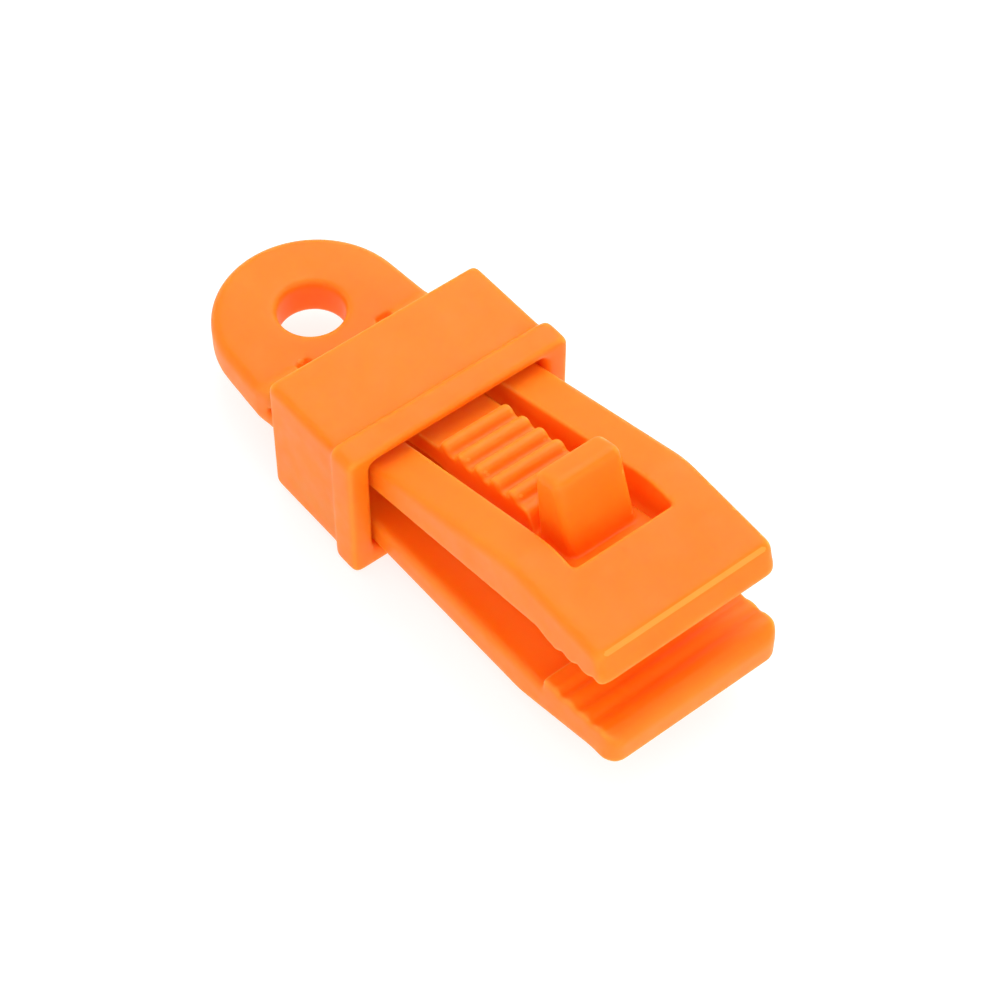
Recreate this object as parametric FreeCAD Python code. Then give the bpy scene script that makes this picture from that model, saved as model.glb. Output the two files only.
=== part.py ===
"""Sliding-lock sheet clip: an eyelet tail, two toothed jaws, a ratchet tongue and a sleeve that closes them.

Frame: millimetres, +Z up, +X from the eyelet towards the jaw tips.  The origin is the centre of the
eyelet's hole, halfway through its plate.  The clip is drawn open, with the sleeve fully back.
Side outlines are drawn in the XZ plane and carried across the width in Y.
"""
import FreeCAD, Part
import math
import os

V = FreeCAD.Vector
ACROSS = V(0, 1, 0)

# ---- eyelet plate ---------------------------------------------------------------------------
PLATE_THICK = 4.6        # tail plate, and the bore's length
PLATE_END_X = -10.1      # far end of the rounded tail
PLATE_ROUND_X = -0.6     # where the round end meets the straight sides
PLATE_ROUND_HALF_WIDTH = 10.45
PLATE_FORK_HALF_WIDTH = 10.9    # shoulders, which stop the sleeve
PLATE_EDGE = 1.05        # rounding of the plate's two faces
HOLE_RADIUS = 3.5        # rope or cord hole
HOLE_EDGE = 0.75         # rounding round the hole's two rims
FORK_X = 5.5             # where the plate divides into arms
SLOT_END_X = 5.1         # sloping rear ends of the slots beside the tongue
SLOT_END_Z = 0.9         # height at the foot of those slopes

# ---- arms and jaws --------------------------------------------------------------------------
JAW_HALF_WIDTH = 10.4
EDGE = 0.8               # rounding of the long moulded edges
HINGE_X = 7.2            # living hinges of the upper jaw and the tongue
JAW_HINGE_Z = 2.0
JAW_ROOT_RADIUS = 1.2    # half thickness of the upper jaw's arms at the hinge
JAW_HINGE_GAP = 0.08     # room between a hinge web and the round end of its arm
WEB_END_X = 6.6
WEB_LOW_Z = 0.3
JAW_WEB_TOP_Z = 2.9
SLIT_Z = -0.2            # top of the lower jaw where the two jaws part

MOUTH_X = 24.7           # front of the sleeve's collar when the sleeve is back
RAIL_TOP_Z = 8.1         # top of the upper jaw at the sleeve's mouth
RAIL_SLOPE = 0.28        # rise of the open upper jaw per mm
UPPER_BEND_X = 45.0      # where the upper jaw turns in towards the bite
BEND_RADIUS = 8.0
TIP_RADIUS = 0.9
UPPER_TIP_TOP = (57.0, 12.95)
UPPER_TIP_LOW_X = 58.2
UPPER_LOW_MOUTH = (23.8, 4.1)    # underside of the upper jaw at the mouth
UPPER_LOW_STEP = (48.6, 8.35)    # underside just behind the upper teeth
UPPER_STEP_RADIUS = 0.7
BELLY_RADIUS = 40.0      # long soft bends in the jaws' inner faces
LOWER_RAMP = (7.5, 13.0) # x where the lower jaw's underside drops and levels out
RAMP_RADIUS = 6.0
LOWER_BOTTOM_Z = -4.25
LOWER_BEND_X = 46.5
LOWER_FRONT_SLOPE = 0.25
LOWER_TIP_X = 59.7
LOWER_TOE_RADIUS = 1.2
LOWER_TIP_RADIUS = 1.7
LOWER_FLOOR_MOUTH = (24.0, -0.75)
LOWER_FLOOR_STEP = (49.2, 0.3)
PAD_SEAT = 1.76          # the toothed pads reach this far into their jaws
PAD_EDGE = 0.35          # rounding of the pads' side edges
PAD_PROUD = 0.03         # the upper pad stands this far out of the jaw

# ---- window in the upper jaw ----------------------------------------------------------------
WINDOW_HALF_WIDTH = 5.85
WINDOW_FRONT_X = 48.4
WINDOW_CORNER = 0.35

# ---- teeth ----------------------------------------------------------------------------------
TOOTH_PITCH = 2.12
NOTCH_COUNT = 3
LOWER_CREST = ((49.7, 1.65), (59.7, 2.95))   # line of the lower crests
LOWER_NOTCH_X = 52.3
LOWER_TOOTH_DEPTH = 0.5
UPPER_CREST = ((50.3, 7.8), (58.5, 9.3))    # line of the upper crests
UPPER_NOTCH_X = 52.3
UPPER_TOOTH_DEPTH = 0.7
TOOTH_ROUNDNESS = (0.45, 0.3)    # a flank's middle point, as shares of its run and depth

# ---- ratchet tongue -------------------------------------------------------------------------
TONGUE_HALF_WIDTH = 4.1
TONGUE_ROOT_RADIUS = 0.8
TONGUE_HINGE_Z = 1.3
TONGUE_WEB_TOP_Z = 2.1
TONGUE_HINGE_GAP = 0.2
TONGUE_RISE_X = 19.2     # where the tongue has risen level with the rails
TONGUE_BEND_RADIUS = 30.0
TONGUE_THICK = 2.4       # at the ribs
LEDGE_DROP = 2.7         # the tongue is this much lower under and ahead of the tab
LEDGE_HALF_WIDTH = 4.9
LEDGE_X = 39.6
LEDGE_RUN = 1.2          # length of the step down to the ledge
LEDGE_THICK = 1.2
LEDGE_EDGE = 0.3
TONGUE_FRONT_X = 47.6
TONGUE_BELLY_RADIUS = 10.0
RIB_COUNT = 5
RIB_FIRST_X = 27.15
RIB_PITCH = 2.55
RIB_RADIUS = 0.85
RIB_HEIGHT = 0.95
RIB_PROUD = 0.38         # the first rib's crest stands this far above the rails
RIB_SLOPE = 0.265        # rise of the crests per mm
RIB_END_EDGE = 0.45
TAB_HALF_WIDTH = 3.9
TAB_EDGE = 0.8
TAB_CORNER = 0.9
TAB_SEAT = 0.4           # the tab's foot reaches this far into the ledge
TAB_TOP_REAR = (40.0, 17.5)
TAB_TOP_FRONT = (43.2, 18.4)
TAB_BASE_REAR_X = 41.0
TAB_BASE_FRONT_X = 46.1

# ---- locking sleeve -------------------------------------------------------------------------
SLEEVE_REAR_X = 10.75
COLLAR_REAR_X = 21.4
SLEEVE_CENTRE_Z = 1.95
SLEEVE_HALF_WIDTH = 12.8
SLEEVE_HALF_HEIGHT = 7.5
SLEEVE_CORNER = 0.7
COLLAR_HALF_WIDTH = 13.35
COLLAR_HALF_HEIGHT = 8.3
COLLAR_CORNER = 0.9
END_EDGE = 0.4           # rounding of the sleeve's and collar's end faces
OPENING_HALF_WIDTH = 10.65
OPENING_LOW_Z = -4.35
OPENING_HIGH_Z = 8.7
OPENING_CORNER = 0.7
LIP = 0.95               # rounding of the opening's rim at the mouth
REAR_LIP = 0.25          # and at the rear

BEYOND = 30.0            # cutting tools reach this far past the clip


def outline(corners):
    """Closed wire in the XZ plane through (x, z, radius) corners, each rounded by a tangent arc."""
    edges = []
    starts = []
    ends = []
    arcs = []
    count = len(corners)
    for i, (x, z, radius) in enumerate(corners):
        here = V(x, 0, z)
        back = V(corners[i - 1][0], 0, corners[i - 1][1]) - here
        ahead = V(corners[(i + 1) % count][0], 0, corners[(i + 1) % count][1]) - here
        back.normalize()
        ahead.normalize()
        if radius <= 0:
            starts.append(here)
            ends.append(here)
            arcs.append(None)
            continue
        half = back.getAngle(ahead) / 2
        reach = radius / math.tan(half)
        middle = back + ahead
        middle.normalize()
        centre = here + middle * (radius / math.sin(half))
        starts.append(here + back * reach)
        ends.append(here + ahead * reach)
        arcs.append(centre - middle * radius)
    for i in range(count):
        if arcs[i] is not None:
            edges.append(Part.Arc(starts[i], arcs[i], ends[i]).toShape())
        following = starts[(i + 1) % count]
        if ends[i].distanceToPoint(following) > 1e-6:
            edges.append(Part.LineSegment(ends[i], following).toShape())
    return Part.Wire(edges)


def slab(corners, half_width, y_centre=0.0):
    """Side outline carried across the clip, half_width each side of y_centre."""
    face = Part.Face(outline(corners))
    face.translate(V(0, y_centre - half_width, 0))
    return face.extrude(ACROSS * (2 * half_width))


def box(x0, x1, y0, y1, z0, z1):
    return Part.makeBox(x1 - x0, y1 - y0, z1 - z0, V(x0, y0, z0))


def rod(x, z, radius, y0, y1):
    return Part.makeCylinder(radius, y1 - y0, V(x, y0, z), ACROSS)


def line_z(points, x):
    """Height at x of the straight line through two (x, z) points."""
    (x0, z0), (x1, z1) = points
    return z0 + (z1 - z0) * (x - x0) / (x1 - x0)


def rail_top(x):
    return RAIL_TOP_Z + RAIL_SLOPE * (x - MOUTH_X)


def round_side_edges(solid, half_width, radius):
    """Round the outline's long edges, at y = +half_width and -half_width, but not its rear end."""
    rear_x = solid.BoundBox.XMin
    chosen = []
    for edge in solid.Edges:
        bounds = edge.BoundBox
        flat = bounds.YLength < 1e-4
        at_side = abs(abs(bounds.YMin) - half_width) < 1e-4
        if flat and at_side and bounds.XMax > rear_x + 0.01:
            chosen.append(edge)
    return solid.makeFillet(radius, chosen)


def tooth_cutter(crest, x_notch, depth, side, half_width):
    """Groove across the jaw between two rounded teeth.  side is +1 to cut down, -1 to cut up."""
    half = TOOTH_PITCH / 2
    run, fall = TOOTH_ROUNDNESS
    rise = 2 * depth * side

    def at(x, down):
        return V(x, 0, line_z(crest, x) - side * down)

    left = at(x_notch - half, 0)
    right = at(x_notch + half, 0)
    notch = at(x_notch, depth)
    left_mid = at(x_notch - half * run, depth * fall)
    right_mid = at(x_notch + half * run, depth * fall)
    edges = [
        Part.Arc(left, left_mid, notch).toShape(),
        Part.Arc(notch, right_mid, right).toShape(),
        Part.LineSegment(right, right + V(0, 0, rise)).toShape(),
        Part.LineSegment(right + V(0, 0, rise), left + V(0, 0, rise)).toShape(),
        Part.LineSegment(left + V(0, 0, rise), left).toShape(),
    ]
    face = Part.Face(Part.Wire(edges))
    face.translate(V(0, -half_width, 0))
    return face.extrude(ACROSS * (2 * half_width))


def eyelet():
    """Tail plate: round end with the rope hole, forking at its front into the arms' roots."""
    half = PLATE_THICK / 2
    side = [V(PLATE_ROUND_X, PLATE_ROUND_HALF_WIDTH, -half), V(FORK_X, PLATE_FORK_HALF_WIDTH, -half)]
    other = [V(p.x, -p.y, p.z) for p in side]
    round_end = Part.Arc(side[0], V(PLATE_END_X, 0, -half), other[0]).toShape()
    wire = Part.Wire([round_end, *Part.makePolygon(other + side[::-1]).Edges])
    plate = Part.Face(wire).extrude(V(0, 0, PLATE_THICK))
    rim = [e for e in plate.Edges
           if e.BoundBox.ZLength < 1e-6 and e.BoundBox.XMin < FORK_X - 0.01]
    plate = plate.makeFillet(PLATE_EDGE, rim)
    plate = plate.cut(Part.makeCylinder(HOLE_RADIUS, BEYOND, V(0, 0, -half - 1)))
    hole_rims = [e for e in plate.Edges
                 if isinstance(e.Curve, Part.Circle) and abs(e.Curve.Radius - HOLE_RADIUS) < 1e-6
                 and e.BoundBox.ZLength < 1e-6]
    plate = plate.makeFillet(HOLE_EDGE, hole_rims)
    slot_half = (WINDOW_HALF_WIDTH - TONGUE_HALF_WIDTH) / 2
    slot = [
        (SLOT_END_X, half, 0),
        (FORK_X, SLOT_END_Z, 0),
        (BEYOND, SLOT_END_Z, 0),
        (BEYOND, BEYOND, 0),
        (SLOT_END_X, BEYOND, 0),
    ]
    for sign in (-1, 1):
        y = sign * (WINDOW_HALF_WIDTH + TONGUE_HALF_WIDTH) / 2
        plate = plate.cut(slab(slot, slot_half, y))
    return plate


def hinge_web(y0, y1, top_z, hinge_z, root_radius, gap):
    """Thin stub between the plate and the round end of an arm, hollowed to clear that end."""
    corners = [
        (FORK_X, WEB_LOW_Z, 0),
        (WEB_END_X, WEB_LOW_Z, 0),
        (WEB_END_X, top_z, 0),
        (FORK_X, PLATE_THICK / 2, 0),
    ]
    web = slab(corners, (y1 - y0) / 2, (y0 + y1) / 2)
    return web.cut(rod(HINGE_X, hinge_z, root_radius + gap, y0 - 1, y1 + 1))


def jaw_web(y0, y1):
    return hinge_web(y0, y1, JAW_WEB_TOP_Z, JAW_HINGE_Z, JAW_ROOT_RADIUS, JAW_HINGE_GAP)


def upper_pad():
    """The upper jaw's biting face, with crisper side edges than the jaw above it."""
    rear_x = UPPER_CREST[0][0] + UPPER_STEP_RADIUS
    front_x = UPPER_TIP_LOW_X - PAD_PROUD
    low = line_z(UPPER_CREST, rear_x) - PAD_PROUD
    low_front = line_z(UPPER_CREST, front_x) - PAD_PROUD
    lean = (UPPER_TIP_LOW_X - UPPER_TIP_TOP[0]) / (UPPER_TIP_TOP[1] - low_front)
    top_x = front_x - lean * PAD_SEAT
    pad = slab([
        (rear_x, low, 0),
        (front_x, low_front, TIP_RADIUS),
        (top_x, low_front + PAD_SEAT, 0),
        (rear_x, low + PAD_SEAT, 0),
    ], JAW_HALF_WIDTH)
    return round_side_edges(pad, JAW_HALF_WIDTH, PAD_EDGE)


def upper_jaw():
    """Window-framed jaw: two rails from the hinges to a solid toothed front."""
    r = JAW_ROOT_RADIUS
    jaw = slab([
        (HINGE_X, JAW_HINGE_Z + r, 0),
        (UPPER_BEND_X, rail_top(UPPER_BEND_X), BEND_RADIUS),
        (*UPPER_TIP_TOP, TIP_RADIUS),
        (UPPER_TIP_LOW_X, line_z(UPPER_CREST, UPPER_TIP_LOW_X), TIP_RADIUS),
        (*UPPER_CREST[0], UPPER_STEP_RADIUS),
        (*UPPER_LOW_STEP, UPPER_STEP_RADIUS),
        (*UPPER_LOW_MOUTH, BELLY_RADIUS),
        (HINGE_X, JAW_HINGE_Z - r, 0),
    ], JAW_HALF_WIDTH)
    jaw = round_side_edges(jaw, JAW_HALF_WIDTH, EDGE)
    root_half_width = JAW_HALF_WIDTH - EDGE
    jaw = jaw.fuse(rod(HINGE_X, JAW_HINGE_Z, r, -root_half_width, root_half_width))
    window = box(0, WINDOW_FRONT_X, -WINDOW_HALF_WIDTH, WINDOW_HALF_WIDTH, -BEYOND, BEYOND)
    upright = [e for e in window.Edges
               if e.BoundBox.XMin > WINDOW_FRONT_X - 0.01 and e.BoundBox.ZLength > BEYOND]
    jaw = jaw.cut(window.makeFillet(WINDOW_CORNER, upright)).fuse(upper_pad())
    for i in range(NOTCH_COUNT):
        x = UPPER_NOTCH_X + TOOTH_PITCH * i
        jaw = jaw.cut(tooth_cutter(UPPER_CREST, x, UPPER_TOOTH_DEPTH, -1, JAW_HALF_WIDTH + 1))
    return jaw


def lower_jaw():
    """Solid jaw: a flat-bottomed arm with a plain floor and a raised, toothed pad at its front."""
    half = PLATE_THICK / 2
    floor = (LOWER_FLOOR_MOUTH, LOWER_FLOOR_STEP)
    front_z = LOWER_BOTTOM_Z + LOWER_FRONT_SLOPE * (LOWER_TIP_X - LOWER_BEND_X)
    arm = slab([
        (FORK_X, SLIT_Z, 0),
        (FORK_X, -half, 0),
        (LOWER_RAMP[0], -half, RAMP_RADIUS),
        (LOWER_RAMP[1], LOWER_BOTTOM_Z, RAMP_RADIUS),
        (LOWER_BEND_X, LOWER_BOTTOM_Z, BEND_RADIUS),
        (LOWER_TIP_X, front_z, LOWER_TOE_RADIUS),
        (LOWER_TIP_X, line_z(floor, LOWER_TIP_X), 0),
        (*LOWER_FLOOR_MOUTH, BELLY_RADIUS),
    ], JAW_HALF_WIDTH)
    arm = round_side_edges(arm, JAW_HALF_WIDTH, EDGE)
    rear_x, rear_z = LOWER_CREST[0]
    pad_low = line_z(floor, rear_x) - PAD_SEAT
    pad = slab([
        (rear_x, pad_low, 0),
        (LOWER_TIP_X, pad_low, 0),
        (LOWER_TIP_X, line_z(LOWER_CREST, LOWER_TIP_X), LOWER_TIP_RADIUS),
        (rear_x, rear_z, 0),
    ], JAW_HALF_WIDTH)
    pad = round_side_edges(pad, JAW_HALF_WIDTH, PAD_EDGE)
    jaw = arm.fuse(pad).removeSplitter()
    for i in range(NOTCH_COUNT):
        x = LOWER_NOTCH_X + TOOTH_PITCH * i
        jaw = jaw.cut(tooth_cutter(LOWER_CREST, x, LOWER_TOOTH_DEPTH, 1, JAW_HALF_WIDTH + 1))
    return jaw


def tongue_top(x):
    """Height of the valleys between the ratchet ribs at x."""
    crest = rail_top(RIB_FIRST_X) + RIB_PROUD + RIB_SLOPE * (x - RIB_FIRST_X)
    return crest - RIB_HEIGHT


def release_tongue():
    """Springy tongue between the rails: ratchet ribs for the sleeve's lip, and a thumb tab."""
    r = TONGUE_ROOT_RADIUS
    ledge_x = LEDGE_X + LEDGE_RUN
    front_z = tongue_top(TONGUE_FRONT_X) - LEDGE_DROP
    belly_x = LEDGE_X - 3.0
    rise_x = RIB_FIRST_X - 2.0
    tongue = slab([
        (HINGE_X, TONGUE_HINGE_Z + r, 0),
        (TONGUE_RISE_X, tongue_top(TONGUE_RISE_X), TONGUE_BEND_RADIUS),
        (LEDGE_X, tongue_top(LEDGE_X), TAB_CORNER),
        (ledge_x, tongue_top(ledge_x) - LEDGE_DROP, TAB_CORNER),
        (TONGUE_FRONT_X, front_z, LEDGE_EDGE),
        (TONGUE_FRONT_X, front_z - LEDGE_THICK, LEDGE_EDGE),
        (belly_x, tongue_top(belly_x) - LEDGE_DROP - LEDGE_THICK, TONGUE_BELLY_RADIUS),
        (rise_x, tongue_top(rise_x) - TONGUE_THICK, TONGUE_BELLY_RADIUS),
        (HINGE_X, TONGUE_HINGE_Z - r, 0),
    ], TONGUE_HALF_WIDTH)
    tongue = tongue.fuse(rod(HINGE_X, TONGUE_HINGE_Z, r, -TONGUE_HALF_WIDTH, TONGUE_HALF_WIDTH))
    wide_x = ledge_x + TAB_CORNER
    wide_z = tongue_top(wide_x) - LEDGE_DROP
    tongue = tongue.fuse(slab([
        (wide_x, wide_z, 0),
        (TONGUE_FRONT_X, front_z, LEDGE_EDGE),
        (TONGUE_FRONT_X, front_z - LEDGE_THICK, LEDGE_EDGE),
        (wide_x, wide_z - LEDGE_THICK, 0),
    ], LEDGE_HALF_WIDTH))
    for i in range(RIB_COUNT):
        x = RIB_FIRST_X + RIB_PITCH * i
        z = tongue_top(x) + RIB_HEIGHT - RIB_RADIUS
        rib = rod(x, z, RIB_RADIUS, -TONGUE_HALF_WIDTH, TONGUE_HALF_WIDTH)
        ends = [e for e in rib.Edges if e.BoundBox.YLength < 1e-6]
        tongue = tongue.fuse(rib.makeFillet(RIB_END_EDGE, ends))
    foot = LEDGE_DROP + TAB_SEAT
    tab = slab([
        (*TAB_TOP_REAR, TAB_CORNER),
        (*TAB_TOP_FRONT, TAB_CORNER),
        (TAB_BASE_FRONT_X, tongue_top(TAB_BASE_FRONT_X) - foot, 0),
        (TAB_BASE_REAR_X, tongue_top(TAB_BASE_REAR_X) - foot, 0),
    ], TAB_HALF_WIDTH)
    foot_z = tongue_top(TAB_BASE_FRONT_X) - foot
    sides = [e for e in tab.Edges if e.BoundBox.YLength < 1e-4 and e.BoundBox.ZMax > foot_z + 1]
    return tongue.fuse(tab.makeFillet(TAB_EDGE, sides)).removeSplitter()


def rounded_tube(x0, x1, half_width, z0, z1, radius):
    """Block along X with its four long edges rounded."""
    block = box(x0, x1, -half_width, half_width, z0, z1)
    return block.makeFillet(radius, [e for e in block.Edges if e.BoundBox.XLength > 0.5])


def ring_edges(solid, x, outer):
    """Edges lying in the plane at x: a tube's outer ring, or the ring of its opening."""
    found = []
    for edge in solid.Edges:
        bounds = edge.BoundBox
        in_plane = bounds.XLength < 1e-4 and abs(bounds.XMin - x) < 1e-4
        inside = (max(abs(bounds.YMin), abs(bounds.YMax)) < OPENING_HALF_WIDTH + 1e-3
                  and bounds.ZMin > OPENING_LOW_Z - 1e-3 and bounds.ZMax < OPENING_HIGH_Z + 1e-3)
        if in_plane and inside != outer:
            found.append(edge)
    return found


def locking_sleeve():
    """Rectangular sleeve with a thicker collar at its mouth."""
    low = SLEEVE_CENTRE_Z - SLEEVE_HALF_HEIGHT
    high = SLEEVE_CENTRE_Z + SLEEVE_HALF_HEIGHT
    inside_collar = (COLLAR_REAR_X + MOUTH_X) / 2
    body = rounded_tube(SLEEVE_REAR_X, inside_collar, SLEEVE_HALF_WIDTH, low, high, SLEEVE_CORNER)
    body = body.makeFillet(END_EDGE, ring_edges(body, SLEEVE_REAR_X, True))
    low = SLEEVE_CENTRE_Z - COLLAR_HALF_HEIGHT
    high = SLEEVE_CENTRE_Z + COLLAR_HALF_HEIGHT
    collar = rounded_tube(COLLAR_REAR_X, MOUTH_X, COLLAR_HALF_WIDTH, low, high, COLLAR_CORNER)
    collar = collar.makeFillet(END_EDGE, ring_edges(collar, COLLAR_REAR_X, True))
    collar = collar.makeFillet(END_EDGE, ring_edges(collar, MOUTH_X, True))
    sleeve = body.fuse(collar).removeSplitter()
    sleeve = sleeve.cut(rounded_tube(0, BEYOND, OPENING_HALF_WIDTH, OPENING_LOW_Z, OPENING_HIGH_Z,
                                     OPENING_CORNER))
    sleeve = sleeve.makeFillet(REAR_LIP, ring_edges(sleeve, SLEEVE_REAR_X, False))
    return sleeve.makeFillet(LIP, ring_edges(sleeve, MOUTH_X, False))


def build():
    """Every node of the clip, by name."""
    tongue_web = hinge_web(-TONGUE_HALF_WIDTH, TONGUE_HALF_WIDTH, TONGUE_WEB_TOP_Z,
                           TONGUE_HINGE_Z, TONGUE_ROOT_RADIUS, TONGUE_HINGE_GAP)
    return {
        "eyelet": eyelet(),
        "lower_jaw": lower_jaw(),
        "upper_jaw": upper_jaw(),
        "release_tongue": release_tongue(),
        "locking_sleeve": locking_sleeve(),
        "hinge_web_left": jaw_web(WINDOW_HALF_WIDTH, JAW_HALF_WIDTH),
        "hinge_web_right": jaw_web(-JAW_HALF_WIDTH, -WINDOW_HALF_WIDTH),
        "tongue_web": tongue_web,
    }


os.makedirs("parts", exist_ok=True)
for name, shape in build().items():
    solid = shape.Solids[0]
    print(name, shape.isValid(), len(shape.Solids), round(shape.Volume, 1))
    solid.exportStep("parts/" + name + ".step")
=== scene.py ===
"""Looks for a moulded sheet clip: smooth plastic skins over the CAD parts, a pale table and a light tent.

Metres, in the CAD frame: +X from the eyelet to the jaw tips, +Z up through the eyelet's hole.
"""

import bpy
import numpy as np
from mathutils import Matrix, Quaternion, Vector


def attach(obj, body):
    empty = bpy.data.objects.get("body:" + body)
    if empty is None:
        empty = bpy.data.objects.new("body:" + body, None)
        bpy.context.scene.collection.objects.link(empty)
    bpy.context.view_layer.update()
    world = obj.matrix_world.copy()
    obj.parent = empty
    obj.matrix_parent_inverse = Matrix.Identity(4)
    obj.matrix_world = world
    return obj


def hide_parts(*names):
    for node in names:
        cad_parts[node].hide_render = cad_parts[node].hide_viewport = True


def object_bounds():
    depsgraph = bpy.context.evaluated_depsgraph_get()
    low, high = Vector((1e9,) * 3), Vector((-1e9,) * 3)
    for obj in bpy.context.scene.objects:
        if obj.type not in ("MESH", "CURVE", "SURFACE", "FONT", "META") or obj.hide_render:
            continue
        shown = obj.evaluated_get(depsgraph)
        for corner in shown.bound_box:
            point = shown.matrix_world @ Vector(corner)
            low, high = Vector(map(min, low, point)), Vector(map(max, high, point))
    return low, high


MM = 0.001
VOXEL = 0.16 * MM         # grid of the moulded skins
BODY_VOXEL = 0.205 * MM
TONGUE_VOXEL = 0.12 * MM
ROUNDING = 12             # smoothing passes, which round the skins' edges
BODY_ROUNDING = 4
TONGUE_ROUNDING = 34
SLEEVE_ROUNDING = 50
CORNER_ROUNDING = 8       # passes after the front corners have been rounded

# ---- front ends of the two jaws, in millimetres: tip x, half width, radius of the corners ----
LOWER_FRONT = (59.7, 10.4, 1.7)
UPPER_FRONT = (58.25, 10.4, 1.3)

# ---- plastic, as linear colours ----
ORANGE = (0.997, 0.205, 0.007)
ORANGE_DEEP = (0.996, 0.188, 0.004)
ORANGE_PALE = (0.998, 0.222, 0.011)
ORANGE_EDGE_HIGHLIGHT = (0.999, 0.305, 0.042)   # painted highlight on rounded edges, standing in for light that passes through them
EDGE_HIGHLIGHT_BEND = (0.511, 0.549)            # pointiness where the painted edge highlight starts and where it is full
SCATTER_REACH = (1.0, 0.50, 0.12)     # how far each colour travels inside the plastic, as shares
SCATTER_DEPTH = 3.5 * MM

# ---- roots of the jaws' arms, in millimetres, as (x, lowest z, highest z, outer y) ----
ROOT_INNER_Y = 5.85
ROOT_ROUNDING = 0.9
ROOT_ARC_STEPS = 5
UPPER_ROOT = (
    (5.2, -0.2, 2.3, 10.9),
    (6.7, -0.2, 2.9, 10.7),
    (7.0, 0.6, 2.95, 10.6),
    (8.4, 1.2, 3.15, 10.1),
)
LOWER_ROOT = (
    (5.2, -2.3, 0.1, 10.9),
    (6.8, -2.35, 0.1, 10.7),
    (7.0, -2.35, -0.2, 10.65),
    (8.6, -2.7, -0.2, 10.4),
)
SLOT_FLOOR = ((5.0, -0.2, 1.7), (7.0, -0.2, 1.5))    # (x, lowest z, highest z) between arm and tongue
SLOT_INNER_Y = 4.0
SLOT_OUTER_Y = ROOT_INNER_Y + 0.3                    # a little way into the arm's root

# ---- table, surround and soft boxes: name, place, side length, watts ----
TABLE_SIZE = 6.0
TABLE_GREY = 0.35
TABLE_GLOW = 0.74
TENT_GLOW = 0.92
AIM = (0.025, 0.0, 0.0)
SOFT_BOXES = (
    ("soft_box_back", (-0.12, 0.22, 0.36), 0.34, 1.1),
    ("soft_box_front", (0.36, -0.06, 0.14), 0.30, 0.40),
)

# ---- camera ----
CAMERA_AT = (0.158637, -0.103892, 0.209913)
CAMERA_TURN = (0.851201, 0.296924, 0.141196, 0.409094)
LENS = 100.17
SENSOR = 36.0


def loft(sections):
    """Closed block through these rings of points, as (verts, faces) in metres."""
    count = len(sections[0])
    verts = [Vector(p) * MM for ring in sections for p in ring]
    faces = [list(range(count))[::-1], [len(verts) - count + i for i in range(count)]]
    for k in range(len(sections) - 1):
        for i in range(count):
            a = k * count + i
            b = k * count + (i + 1) % count
            faces.append([a, b, b + count, a + count])
    return verts, faces


def root_ring(x, low, high, outer, side, round_top):
    """Section of an arm's root at x, with its outer corner rounded at the top or at the bottom."""
    corner = high if round_top else low
    turn = 1 if round_top else -1
    arc = []
    for step in range(ROOT_ARC_STEPS + 1):
        angle = np.pi / 2 * step / ROOT_ARC_STEPS
        y = outer - ROOT_ROUNDING * (1 - np.cos(angle))
        z = corner - turn * ROOT_ROUNDING * (1 - np.sin(angle))
        arc.append((x, side * y, z))
    other = low if round_top else high
    inner = [(x, side * ROOT_INNER_Y, corner), (x, side * ROOT_INNER_Y, other)]
    return [(x, side * outer, other)] + arc + inner


def arm_roots():
    """Blocks that join the plate to the jaws' arms and close the rear ends of the slots."""
    blocks = []
    for side in (-1, 1):
        blocks.append(loft([root_ring(*part, side, True) for part in UPPER_ROOT]))
        blocks.append(loft([root_ring(*part, side, False) for part in LOWER_ROOT]))
        blocks.append(loft([
            [(x, side * SLOT_INNER_Y, low), (x, side * SLOT_OUTER_Y, low),
             (x, side * SLOT_OUTER_Y, high), (x, side * SLOT_INNER_Y, high)]
            for x, low, high in SLOT_FLOOR
        ]))
    return blocks


def node_copy(name, nodes, extra=()):
    """One new object holding copies of these CAD nodes' meshes, and the extra blocks."""
    verts = []
    faces = []
    for block_verts, block_faces in extra:
        faces.extend([len(verts) + i for i in face] for face in block_faces)
        verts.extend(block_verts)
    for node in nodes:
        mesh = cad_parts[node].data
        base = len(verts)
        verts.extend(v.co.copy() for v in mesh.vertices)
        faces.extend([base + i for i in p.vertices] for p in mesh.polygons)
    mesh = bpy.data.meshes.new(name)
    mesh.from_pydata(verts, [], faces)
    made = bpy.data.objects.new(name, mesh)
    bpy.context.scene.collection.objects.link(made)
    return made


def apply_modifiers(obj):
    """Replaces the object's mesh with what its modifiers give."""
    bpy.context.view_layer.update()
    graph = bpy.context.evaluated_depsgraph_get()
    mesh = bpy.data.meshes.new_from_object(obj.evaluated_get(graph))
    obj.modifiers.clear()
    obj.data = mesh


def skin(obj, voxel, rounding):
    """Makes the object one even skin and smooths it this many times."""
    remesh = obj.modifiers.new("remesh", "REMESH")
    remesh.mode = "VOXEL"
    remesh.voxel_size = voxel
    remesh.use_smooth_shade = True
    soften = obj.modifiers.new("soften", "SMOOTH")
    soften.factor = 0.5
    soften.iterations = rounding
    apply_modifiers(obj)
    obj.data.shade_smooth()


def moulded(name, nodes, extra=(), voxel=VOXEL, rounding=ROUNDING):
    """A continuous skin with soft edges over these CAD nodes and extra blocks."""
    made = node_copy(name, nodes, extra)
    skin(made, voxel, rounding)
    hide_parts(*nodes)
    return made


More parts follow.
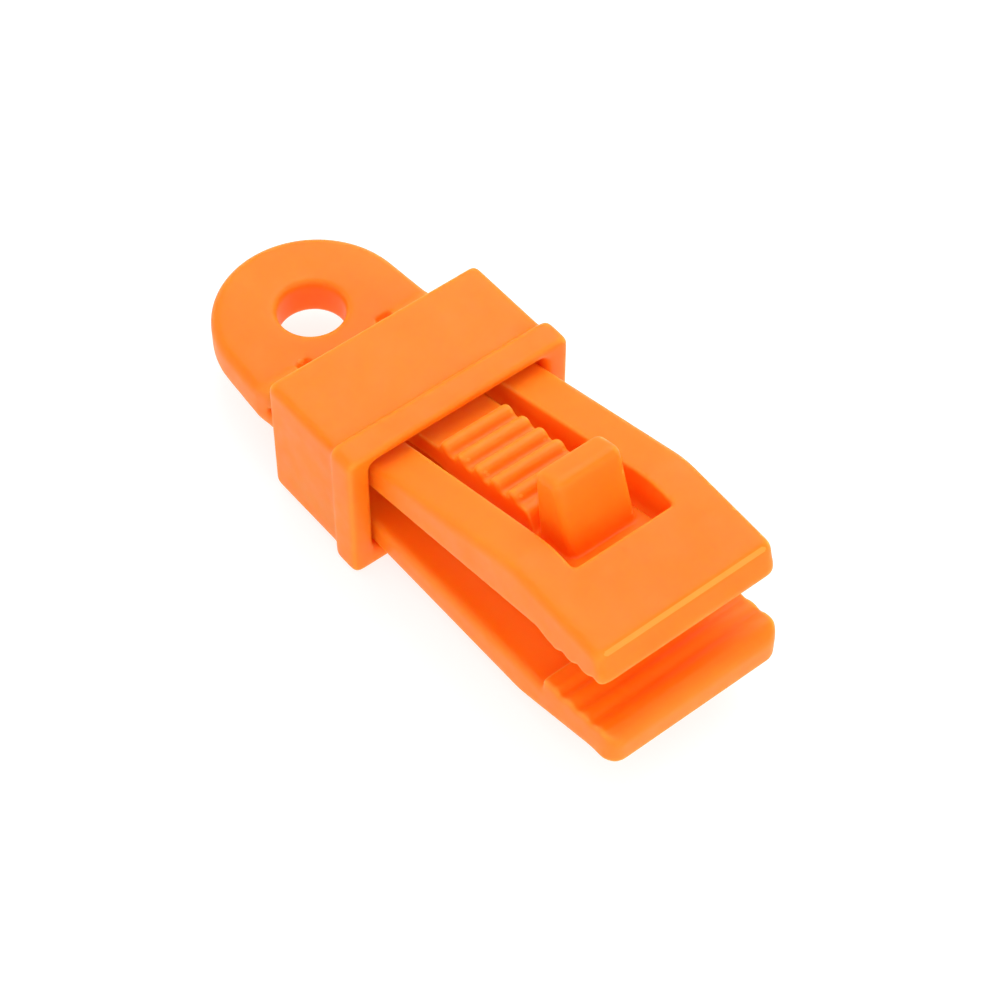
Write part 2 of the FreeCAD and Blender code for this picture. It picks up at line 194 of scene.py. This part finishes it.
def round_front_corners(obj, tip_x, half_width, radius, voxel=VOXEL):
    """Rounds a jaw's front corners as seen from above: each corner's square becomes a quarter disc."""
    coords = np.empty(len(obj.data.vertices) * 3)
    obj.data.vertices.foreach_get("co", coords)
    points = coords.reshape(-1, 3) / MM
    along = np.clip((points[:, 0] - (tip_x - radius)) / radius, 0, 1)
    across = np.clip((np.abs(points[:, 1]) - (half_width - radius)) / radius, 0, 1)
    inside = (along > 0) & (across > 0)
    new_along = along * np.sqrt(1 - across ** 2 / 2)
    new_across = across * np.sqrt(1 - along ** 2 / 2)
    points[inside, 0] = (tip_x - radius + radius * new_along)[inside]
    points[inside, 1] = (np.sign(points[:, 1]) * (half_width - radius + radius * new_across))[inside]
    obj.data.vertices.foreach_set("co", (points * MM).ravel())
    obj.data.update()
    skin(obj, voxel, CORNER_ROUNDING)


def plastic(name, seed):
    """Satin moulded nylon: scattered light, faint flow clouds, painted highlights on the edges, fine grain,
    soft sink marks.
    """
    material = bpy.data.materials.new(name)
    material.use_nodes = True
    tree = material.node_tree
    tree.nodes.clear()

    def node(kind, **values):
        made = tree.nodes.new("ShaderNode" + kind)
        for key, value in values.items():
            setattr(made, key, value)
        return made

    def noise(scale, detail, roughness):
        made = node("TexNoise", noise_dimensions="4D")
        made.inputs["W"].default_value = seed
        made.inputs["Scale"].default_value = scale
        made.inputs["Detail"].default_value = detail
        made.inputs["Roughness"].default_value = roughness
        return made

    output = node("OutputMaterial")
    shader = node("BsdfPrincipled")
    tree.links.new(shader.outputs[0], output.inputs["Surface"])
    place = node("TexCoord")

    # flow clouds, drawn out along the clip
    stretch = node("Mapping")
    stretch.inputs["Scale"].default_value = (0.45, 1.0, 1.0)
    clouds = noise(110.0, 3.0, 0.45)
    tree.links.new(place.outputs["Object"], stretch.inputs["Vector"])
    tree.links.new(stretch.outputs["Vector"], clouds.inputs["Vector"])
    ramp = node("ValToRGB")
    ramp.color_ramp.elements[0].position = 0.30
    ramp.color_ramp.elements[0].color = (*ORANGE_DEEP, 1)
    ramp.color_ramp.elements[1].position = 0.72
    ramp.color_ramp.elements[1].color = (*ORANGE_PALE, 1)
    middle = ramp.color_ramp.elements.new(0.5)
    middle.color = (*ORANGE, 1)
    tree.links.new(clouds.outputs["Fac"], ramp.inputs["Fac"])

    # painted highlight: paler colour where the surface bends outwards, standing in for light through the
    # edges
    shape = node("NewGeometry")
    highlight_bend = node("MapRange")
    highlight_bend.inputs["From Min"].default_value = EDGE_HIGHLIGHT_BEND[0]
    highlight_bend.inputs["From Max"].default_value = EDGE_HIGHLIGHT_BEND[1]
    tree.links.new(shape.outputs["Pointiness"], highlight_bend.inputs["Value"])
    edge_highlight = node("MixRGB")
    edge_highlight.inputs["Color2"].default_value = (*ORANGE_EDGE_HIGHLIGHT, 1)
    tree.links.new(highlight_bend.outputs["Result"], edge_highlight.inputs["Fac"])
    tree.links.new(ramp.outputs["Color"], edge_highlight.inputs["Color1"])
    tree.links.new(edge_highlight.outputs["Color"], shader.inputs["Base Color"])

    # satin finish, with patches polished a little smoother by the mould
    patches = noise(420.0, 2.0, 0.5)
    tree.links.new(place.outputs["Object"], patches.inputs["Vector"])
    finish = node("MapRange")
    finish.inputs["From Min"].default_value = 0.3
    finish.inputs["From Max"].default_value = 0.7
    finish.inputs["To Min"].default_value = 0.36
    finish.inputs["To Max"].default_value = 0.50
    tree.links.new(patches.outputs["Fac"], finish.inputs["Value"])
    tree.links.new(finish.outputs["Result"], shader.inputs["Roughness"])

    # fine spark grain over soft sink marks
    grain = noise(5200.0, 2.0, 0.6)
    sinks = noise(230.0, 1.0, 0.4)
    tree.links.new(place.outputs["Object"], grain.inputs["Vector"])
    tree.links.new(place.outputs["Object"], sinks.inputs["Vector"])
    soft = node("Bump")
    soft.inputs["Strength"].default_value = 0.25
    soft.inputs["Distance"].default_value = 0.12 * MM
    tree.links.new(sinks.outputs["Fac"], soft.inputs["Height"])
    fine = node("Bump")
    fine.inputs["Strength"].default_value = 0.10
    fine.inputs["Distance"].default_value = 0.02 * MM
    tree.links.new(grain.outputs["Fac"], fine.inputs["Height"])
    tree.links.new(soft.outputs["Normal"], fine.inputs["Normal"])
    tree.links.new(fine.outputs["Normal"], shader.inputs["Normal"])

    shader.inputs["IOR"].default_value = 1.5
    shader.inputs["Specular IOR Level"].default_value = 0.18
    shader.inputs["Subsurface Weight"].default_value = 1.0
    shader.inputs["Subsurface Radius"].default_value = SCATTER_REACH
    shader.inputs["Subsurface Scale"].default_value = SCATTER_DEPTH
    return material


def paint(obj, material):
    obj.data.materials.clear()
    obj.data.materials.append(material)


def build_stage(low):
    """A pale table under the clip, a white surround and two soft boxes."""
    bpy.ops.mesh.primitive_plane_add(size=TABLE_SIZE, location=(AIM[0], AIM[1], low))
    floor = bpy.context.object
    floor.name = "table"
    material = bpy.data.materials.new("pale_table")
    material.use_nodes = True
    shader = material.node_tree.nodes["Principled BSDF"]
    shader.inputs["Base Color"].default_value = (TABLE_GREY, TABLE_GREY, TABLE_GREY, 1)
    shader.inputs["Roughness"].default_value = 0.8
    shader.inputs["Emission Color"].default_value = (1.0, 1.0, 1.0, 1)
    shader.inputs["Emission Strength"].default_value = TABLE_GLOW
    paint(floor, material)

    world = bpy.context.scene.world or bpy.data.worlds.new("tent")
    bpy.context.scene.world = world
    world.use_nodes = True
    back = world.node_tree.nodes["Background"]
    back.inputs["Color"].default_value = (1.0, 1.0, 1.0, 1)
    back.inputs["Strength"].default_value = TENT_GLOW

    for name, place, size, power in SOFT_BOXES:
        data = bpy.data.lights.new(name, "AREA")
        data.shape = "SQUARE"
        data.size = size
        data.energy = power
        lamp = bpy.data.objects.new(name, data)
        lamp.location = place
        lamp.rotation_mode = "QUATERNION"
        lamp.rotation_quaternion = (Vector(AIM) - Vector(place)).to_track_quat("-Z", "Y")
        bpy.context.scene.collection.objects.link(lamp)


def build_camera():
    data = bpy.data.cameras.new("camera")
    data.sensor_width = SENSOR
    data.lens = LENS
    data.clip_start = 0.01
    data.clip_end = 20.0
    camera = bpy.data.objects.new("camera", data)
    camera.location = CAMERA_AT
    camera.rotation_mode = "QUATERNION"
    camera.rotation_quaternion = Quaternion(CAMERA_TURN)
    bpy.context.scene.collection.objects.link(camera)
    bpy.context.scene.camera = camera


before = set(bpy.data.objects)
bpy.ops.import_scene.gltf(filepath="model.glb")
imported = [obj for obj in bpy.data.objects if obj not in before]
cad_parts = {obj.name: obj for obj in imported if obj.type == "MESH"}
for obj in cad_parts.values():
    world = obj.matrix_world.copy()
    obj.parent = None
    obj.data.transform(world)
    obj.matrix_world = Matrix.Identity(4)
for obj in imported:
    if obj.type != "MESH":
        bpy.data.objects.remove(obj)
cad_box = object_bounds()
bpy.context.scene.view_settings.view_transform = "Standard"

build_camera()
build_stage(cad_box[0].z)

body_plastic = plastic("body_plastic", 1.7)
sleeve_plastic = plastic("sleeve_plastic", 8.3)

main_skin = moulded("clip_body", ["eyelet", "lower_jaw", "hinge_web_left", "hinge_web_right", "tongue_web"],
                    extra=arm_roots(), voxel=BODY_VOXEL, rounding=BODY_ROUNDING)
upper_skin = moulded("clip_upper_jaw", ["upper_jaw"])
tongue_skin = moulded("clip_tongue", ["release_tongue"], voxel=TONGUE_VOXEL,
                      rounding=TONGUE_ROUNDING)
sleeve_skin = moulded("clip_sleeve", ["locking_sleeve"], rounding=SLEEVE_ROUNDING)
round_front_corners(main_skin, *LOWER_FRONT, voxel=BODY_VOXEL)
round_front_corners(upper_skin, *UPPER_FRONT)
for piece in (main_skin, upper_skin, tongue_skin):
    paint(piece, body_plastic)
paint(sleeve_skin, sleeve_plastic)

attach(main_skin, "main_body")
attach(upper_skin, "upper_jaw")
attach(tongue_skin, "release_tongue")
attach(sleeve_skin, "locking_sleeve")
